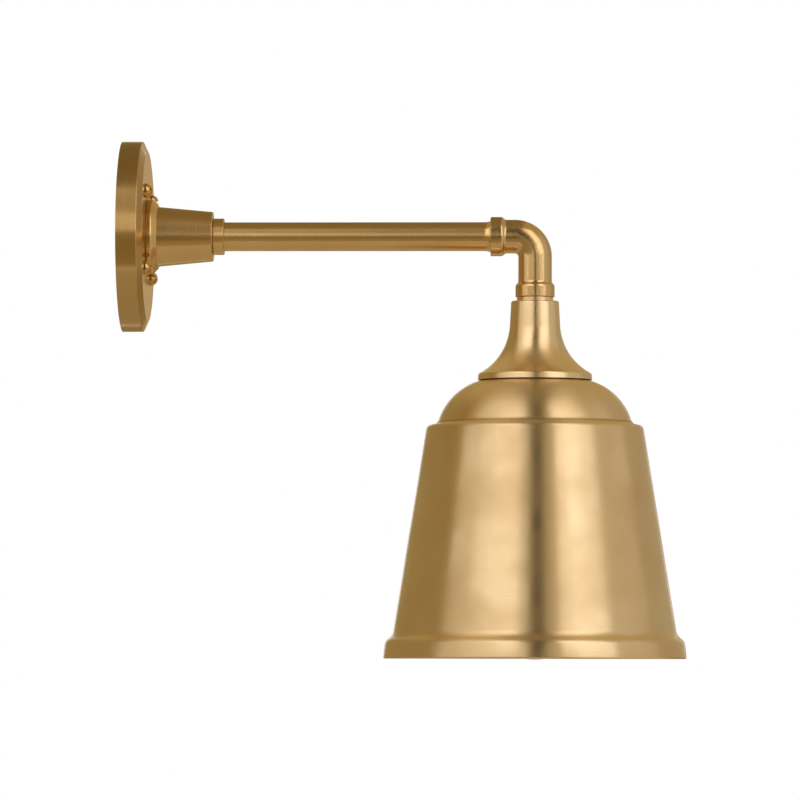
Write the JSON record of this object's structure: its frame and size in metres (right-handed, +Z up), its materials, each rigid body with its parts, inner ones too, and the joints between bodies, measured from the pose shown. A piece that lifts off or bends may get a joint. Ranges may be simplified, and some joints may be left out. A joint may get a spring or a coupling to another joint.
{
  "type": "wall sconce",
  "caption": "Brass wall light: a round wall plate, a horizontal pipe arm with an elbow, and a bell shade that hangs open side down over a screw-in lamp.",
  "frame": {"origin": "centre of the wall plate's open back, on the wall", "axes": "+X out of the wall along the arm, +Z up, the shade hangs towards -Z"},
  "size_m": [0.379, 0.2032, 0.348],
  "materials": {
    "aged_brass": "satin, hand-burnished and lacquered",
    "zinc_steel": "pressed and zinc plated",
    "green_steel": "green dyed zinc plate",
    "copper": "bare drawn copper",
    "porcelain": "white glaze",
    "plain_brass": "pressed, unlacquered",
    "nickel": "nickel plated",
    "black_vinyl": "extruded",
    "white_vinyl": "extruded",
    "clear_glass": "blown, clear",
    "aluminium_cap": "rolled thread",
    "black_glass": "fused black glass",
    "solder": "dull solder",
    "tungsten": "drawn wire"
  },
  "bodies": {
    "fixture": {"wall_plate": "aged_brass", "mounting_plate": "zinc_steel", "plate_screws": "aged_brass", "ground_screw": "green_steel", "ground_lead": "copper", "arm_socket": "aged_brass", "socket_nipple": "zinc_steel", "socket_washer": "zinc_steel", "socket_nut": "zinc_steel", "arm_collar": "aged_brass", "arm_pipe": "aged_brass", "elbow": "aged_brass", "seat_ring": "aged_brass", "neck": "aged_brass", "shade": "aged_brass", "drop_nipple": "zinc_steel", "shade_washer": "zinc_steel", "shade_nut": "zinc_steel", "holder_bracket": "zinc_steel", "holder_body": "porcelain", "bracket_screws": "zinc_steel", "live_terminal": "plain_brass", "live_terminal_screw": "plain_brass", "neutral_terminal": "nickel", "neutral_terminal_screw": "nickel", "centre_contact": "plain_brass", "shell_strap": "nickel", "screw_shell": "nickel", "live_conductor": "copper", "live_lead": "black_vinyl", "neutral_conductor": "copper", "neutral_lead": "white_vinyl"},
    "lamp": {"lamp_cap": "aluminium_cap", "lamp_insulator": "black_glass", "lamp_contact": "solder", "lamp_glass": "clear_glass", "lamp_stem": "clear_glass", "lamp_supports": "nickel", "lamp_filament": "tungsten"}
  },
  "joints": [
    {"name": "lamp_out", "type": "slide", "parent": "fixture", "child": "lamp", "axis": [0, 0, -1], "range_m": [0, 0.14]}
  ]
}
